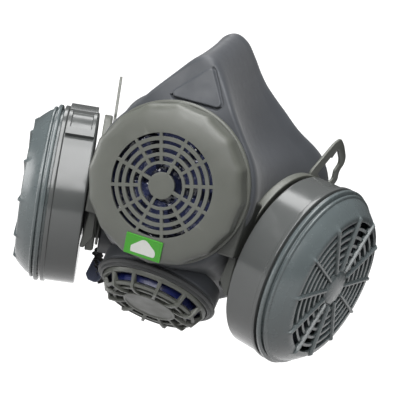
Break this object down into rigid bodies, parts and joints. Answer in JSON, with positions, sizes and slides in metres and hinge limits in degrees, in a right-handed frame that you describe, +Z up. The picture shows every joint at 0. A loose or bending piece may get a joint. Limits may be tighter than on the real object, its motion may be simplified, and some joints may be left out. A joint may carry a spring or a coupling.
{
  "type": "half-mask respirator",
  "caption": "Rubber half mask with a round slotted front cap, an exhalation valve under the chin and a screw-on filter cartridge on each side.",
  "frame": {"origin": "centre of the face seal, where the wearer's face holds the mask", "axes": "+Z up, -Y is the front of the mask and the way the wearer looks, +X is the wearer's left"},
  "size_m": [0.191, 0.1059, 0.1523],
  "materials": {
    "hard_grey": "olive-grey moulded nylon, satin",
    "body_grey": "mid-grey moulded plastic, semi-gloss",
    "cover_grey": "teal-grey moulded plastic, semi-gloss",
    "face_rubber": "slate-grey soft rubber, satin",
    "dark_rubber": "near-black rubber, matt",
    "blue_plastic": "deep blue moulded plastic",
    "silicone": "milky silicone",
    "clear_film": "thin clear film, glossy",
    "carbon": "granular activated carbon, matt",
    "filter_media": "dark non-woven felt",
    "white_plastic": "white moulded plastic",
    "green_label": "plain green paper label",
    "black_webbing": "black woven elastic",
    "tab_grey": "blue-grey soft plastic"
  },
  "bodies": {
    "mask": {"facepiece": "face_rubber", "front_housing": "hard_grey", "housing_nut": "hard_grey", "cap_gasket": "dark_rubber", "speech_diaphragm": "clear_film", "diaphragm_frame": "blue_plastic", "exhale_valve_seat": "blue_plastic", "exhale_clamp_ring": "dark_rubber", "port_housing_left": "hard_grey", "port_housing_right": "hard_grey", "port_nut_left": "hard_grey", "port_nut_right": "hard_grey", "inhale_valve_seat_left": "blue_plastic", "inhale_valve_seat_right": "blue_plastic", "port_gasket_left": "dark_rubber", "port_gasket_right": "dark_rubber", "neck_strap_left": "black_webbing", "neck_strap_right": "black_webbing", "strap_tab_left": "tab_grey", "strap_tab_right": "tab_grey"},
    "cap": {"front_cap": "hard_grey", "cap_sticker": "green_label"},
    "exhale_guard": {"exhale_cover": "hard_grey"},
    "exhale_flap": {"exhale_valve_flap": "dark_rubber"},
    "inhale_flap_left": {"inhale_valve_flap_left": "silicone"},
    "cartridge_left": {"cartridge_body_left": "body_grey", "rear_grid_left": "white_plastic", "sorbent_bed_left": "carbon", "front_grid_left": "white_plastic", "filter_pad_left": "filter_media"},
    "cover_left": {"cartridge_cover_left": "cover_grey"},
    "loop_left": {"harness_loop_left": "hard_grey"},
    "inhale_flap_right": {"inhale_valve_flap_right": "silicone"},
    "cartridge_right": {"cartridge_body_right": "body_grey", "rear_grid_right": "white_plastic", "sorbent_bed_right": "carbon", "front_grid_right": "white_plastic", "filter_pad_right": "filter_media"},
    "cover_right": {"cartridge_cover_right": "cover_grey"},
    "loop_right": {"harness_loop_right": "hard_grey"}
  },
  "joints": [
    {"name": "front_cap_turn", "type": "hinge", "parent": "mask", "child": "cap", "pos_m": [0, -0.085, 0], "axis": [0, -1, 0], "range_deg": [0, 60]},
    {"name": "exhale_cover_turn", "type": "hinge", "parent": "mask", "child": "exhale_guard", "pos_m": [0, -0.051, -0.0661], "axis": [0, -0.5878, -0.809], "range_deg": [0, 45]},
    {"name": "exhale_flap_lift", "type": "slide", "parent": "mask", "child": "exhale_flap", "axis": [0, -0.5878, -0.809], "range_m": [0, 0.0006], "stiffness_N_per_m": 80, "springref_m": -0.0005},
    {"name": "inhale_flap_lift_left", "type": "slide", "parent": "mask", "child": "inhale_flap_left", "axis": [-0.9361, 0.3407, 0.0872], "range_m": [0, 0.0012], "stiffness_N_per_m": 80, "springref_m": -0.0005},
    {"name": "cartridge_turn_left", "type": "hinge", "parent": "mask", "child": "cartridge_left", "pos_m": [0.0709, -0.0316, -0.0304], "axis": [0.9361, -0.3407, -0.0872], "range_deg": [0, 90]},
    {"name": "cover_turn_left", "type": "hinge", "parent": "cartridge_left", "child": "cover_left", "pos_m": [0.0709, -0.0316, -0.0304], "axis": [0.9361, -0.3407, -0.0872], "range_deg": [0, 45]},
    {"name": "loop_swivel_left", "type": "hinge", "parent": "mask", "child": "loop_left", "pos_m": [0.0709, -0.0316, -0.0304], "axis": [0.9361, -0.3407, -0.0872], "range_deg": [-5, 20]},
    {"name": "inhale_flap_lift_right", "type": "slide", "parent": "mask", "child": "inhale_flap_right", "axis": [0.9361, 0.3407, 0.0872], "range_m": [0, 0.0012], "stiffness_N_per_m": 80, "springref_m": -0.0005},
    {"name": "cartridge_turn_right", "type": "hinge", "parent": "mask", "child": "cartridge_right", "pos_m": [-0.0709, -0.0316, -0.0304], "axis": [-0.9361, -0.3407, -0.0872], "range_deg": [0, 90]},
    {"name": "cover_turn_right", "type": "hinge", "parent": "cartridge_right", "child": "cover_right", "pos_m": [-0.0709, -0.0316, -0.0304], "axis": [-0.9361, -0.3407, -0.0872], "range_deg": [0, 45]},
    {"name": "loop_swivel_right", "type": "hinge", "parent": "mask", "child": "loop_right", "pos_m": [-0.0709, -0.0316, -0.0304], "axis": [0.9361, 0.3407, 0.0872], "range_deg": [-5, 20]}
  ]
}
